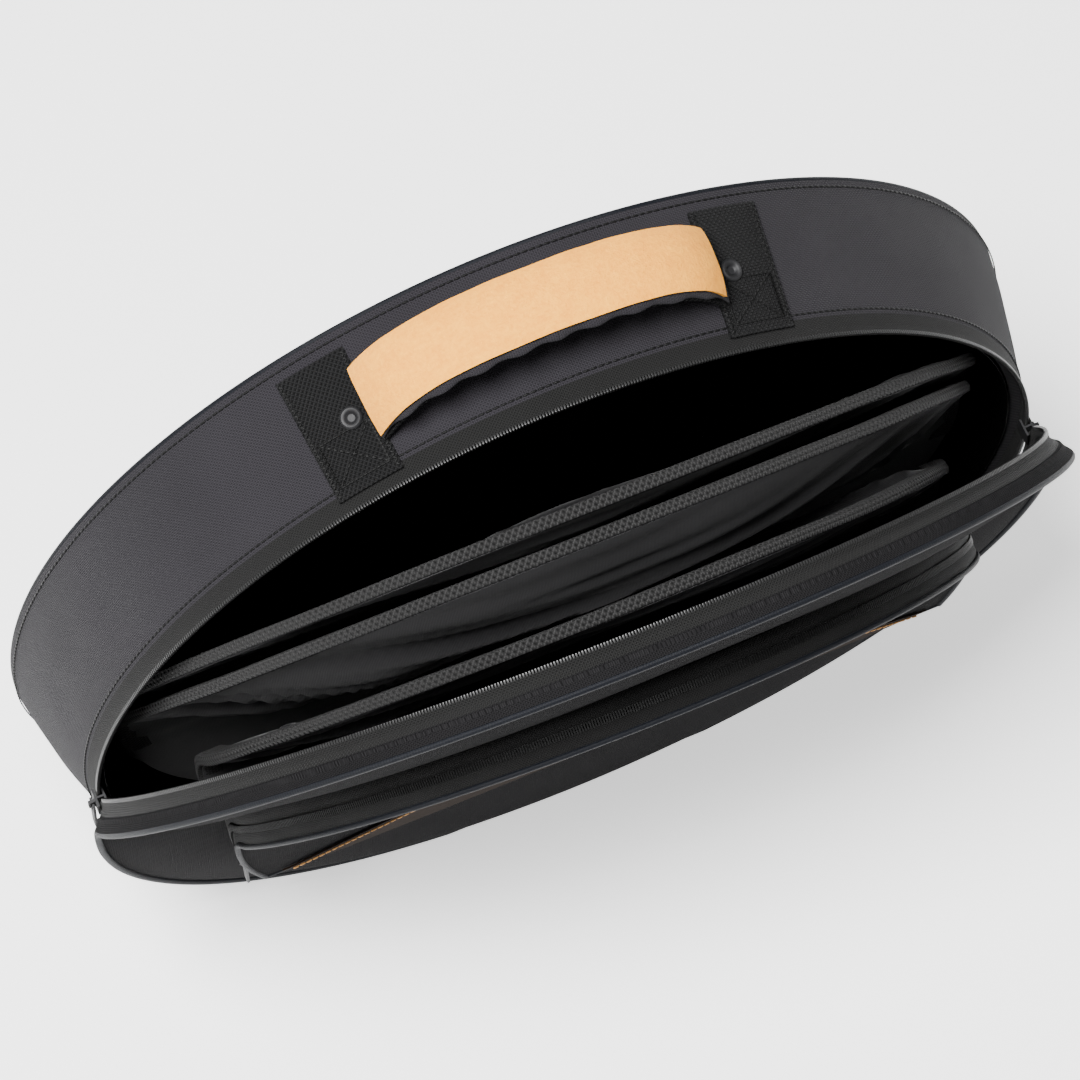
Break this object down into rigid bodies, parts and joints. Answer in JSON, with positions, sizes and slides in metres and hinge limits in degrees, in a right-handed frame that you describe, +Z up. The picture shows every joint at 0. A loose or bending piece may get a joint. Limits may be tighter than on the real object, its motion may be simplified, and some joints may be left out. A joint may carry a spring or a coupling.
{
  "type": "cymbal bag",
  "caption": "Round padded soft bag standing on its flattened base, curved zip lid folded forward, padded dividers, front pocket and a suede-wrapped carry handle.",
  "frame": {"origin": "on the floor, under the middle of the gusset's flattened bottom", "axes": "+Z up through the handle, +Y towards the back panel, -Y the lid and pocket side, +X to the bag's right seen from the front"},
  "size_m": [0.618, 0.2368, 0.5835],
  "materials": {
    "canvas": "fine woven polyester, soft sheen",
    "tape": "ribbed zipper tape",
    "webbing": "ribbed polypropylene webbing",
    "foam": "closed-cell foam padding",
    "lining": "smooth woven lining",
    "suede": "napped suede",
    "accent": "napped suede",
    "piping": "smooth bound cord",
    "coil": "nylon zipper coil",
    "metal": "black painted zinc"
  },
  "bodies": {
    "bag_body": {"back_cover": "canvas", "back_foam": "foam", "back_lining": "lining", "back_piping": "piping", "divider_front_base": "lining", "divider_middle_base": "lining", "divider_rear_base": "lining", "front_coil": "coil", "front_cover": "canvas", "front_foam": "foam", "front_gusset": "canvas", "front_lining": "lining", "front_piping": "piping", "front_tape": "tape", "gusset_coil": "coil", "gusset_cover": "canvas", "gusset_foam": "foam", "gusset_lining": "lining", "gusset_tape": "tape", "handle_patch_left": "webbing", "handle_patch_right": "webbing", "pocket_accent": "accent", "pocket_chain_left": "coil", "pocket_chain_right": "coil", "pocket_front": "canvas", "pocket_piping": "piping", "pocket_wall": "canvas", "rivet_left": "metal", "rivet_right": "metal", "strap_end_left": "webbing", "strap_end_right": "webbing"},
    "lid": {"lid_coil": "coil", "lid_cover": "canvas", "lid_foam": "foam", "lid_gusset": "canvas", "lid_lining": "lining", "lid_piping": "piping", "lid_tape": "tape", "pocket_inner_band": "tape", "pocket_inner_coil": "coil"},
    "divider_rear": {"divider_rear_binding": "webbing", "divider_rear_panel": "lining"},
    "divider_middle": {"divider_middle_binding": "webbing", "divider_middle_panel": "lining"},
    "divider_front": {"divider_front_binding": "webbing", "divider_front_panel": "lining"},
    "slider_left": {"slider_left": "metal"},
    "pull_left": {"pull_left": "metal"},
    "slider_right": {"slider_right": "metal"},
    "pull_right": {"pull_right": "metal"},
    "pocket_flap": {"flap_band": "canvas", "flap_coil": "coil", "flap_front": "canvas", "flap_piping": "piping"},
    "slider_pocket": {"slider_pocket": "metal"},
    "pull_pocket": {"pull_pocket": "metal"},
    "handle": {"handle_pad": "foam", "handle_sleeve": "suede", "handle_strap": "webbing"}
  },
  "joints": [
    {"name": "lid_fold", "type": "hinge", "parent": "bag_body", "child": "lid", "pos_m": [0, -0.062, 0.261], "axis": [1, 0, 0], "range_deg": [-25, 0]},
    {"name": "divider_rear_fold", "type": "hinge", "parent": "bag_body", "child": "divider_rear", "pos_m": [0, 0.008, 0.261], "axis": [1, 0, 0], "range_deg": [-21, 0]},
    {"name": "divider_middle_fold", "type": "hinge", "parent": "bag_body", "child": "divider_middle", "pos_m": [0, -0.011, 0.261], "axis": [1, 0, 0], "range_deg": [-22, 0]},
    {"name": "divider_front_fold", "type": "hinge", "parent": "bag_body", "child": "divider_front", "pos_m": [0, -0.046, 0.261], "axis": [1, 0, 0], "range_deg": [-22.5, 0]},
    {"name": "slider_left_travel", "type": "hinge", "parent": "bag_body", "child": "slider_left", "pos_m": [0, -0.044, 0.244], "axis": [0, 1, 0], "range_deg": [0, 77]},
    {"name": "slider_right_travel", "type": "hinge", "parent": "bag_body", "child": "slider_right", "pos_m": [0, -0.044, 0.244], "axis": [0, -1, 0], "range_deg": [0, 77]},
    {"name": "pull_left_swing", "type": "hinge", "parent": "slider_left", "child": "pull_left", "pos_m": [-0.29401, -0.044, 0.25684], "axis": [0, 1, 0], "range_deg": [0, 160]},
    {"name": "pull_right_swing", "type": "hinge", "parent": "slider_right", "child": "pull_right", "pos_m": [0.29401, -0.044, 0.25684], "axis": [0, -1, 0], "range_deg": [0, 160]},
    {"name": "pocket_flap_fold", "type": "hinge", "parent": "lid", "child": "pocket_flap", "pos_m": [0, -0.10685, 0.26183], "axis": [1, 0, 0], "range_deg": [0, 25]},
    {"name": "slider_pocket_travel", "type": "hinge", "parent": "bag_body", "child": "slider_pocket", "pos_m": [-0.0611, -0.08769, 0.24418], "axis": [0, 1, 0], "range_deg": [0, 16.4]},
    {"name": "pull_pocket_swing", "type": "hinge", "parent": "slider_pocket", "child": "pull_pocket", "pos_m": [-0.22415, -0.08769, 0.19166], "axis": [0, 1, 0], "range_deg": [-14, 138]},
    {"name": "handle_tilt", "type": "hinge", "parent": "bag_body", "child": "handle", "pos_m": [0, -0.0005, 0.536], "axis": [1, 0, 0], "range_deg": [-22, 32]}
  ],
  "couplings": [
    {"joint": "divider_rear_fold", "follows": "lid_fold", "ratio": 0.84},
    {"joint": "divider_middle_fold", "follows": "lid_fold", "ratio": 0.88},
    {"joint": "divider_front_fold", "follows": "lid_fold", "ratio": 0.9},
    {"joint": "slider_left_travel", "follows": "lid_fold", "ratio": -3.08},
    {"joint": "slider_right_travel", "follows": "lid_fold", "ratio": -3.08},
    {"joint": "slider_pocket_travel", "follows": "pocket_flap_fold", "ratio": 0.656}
  ]
}
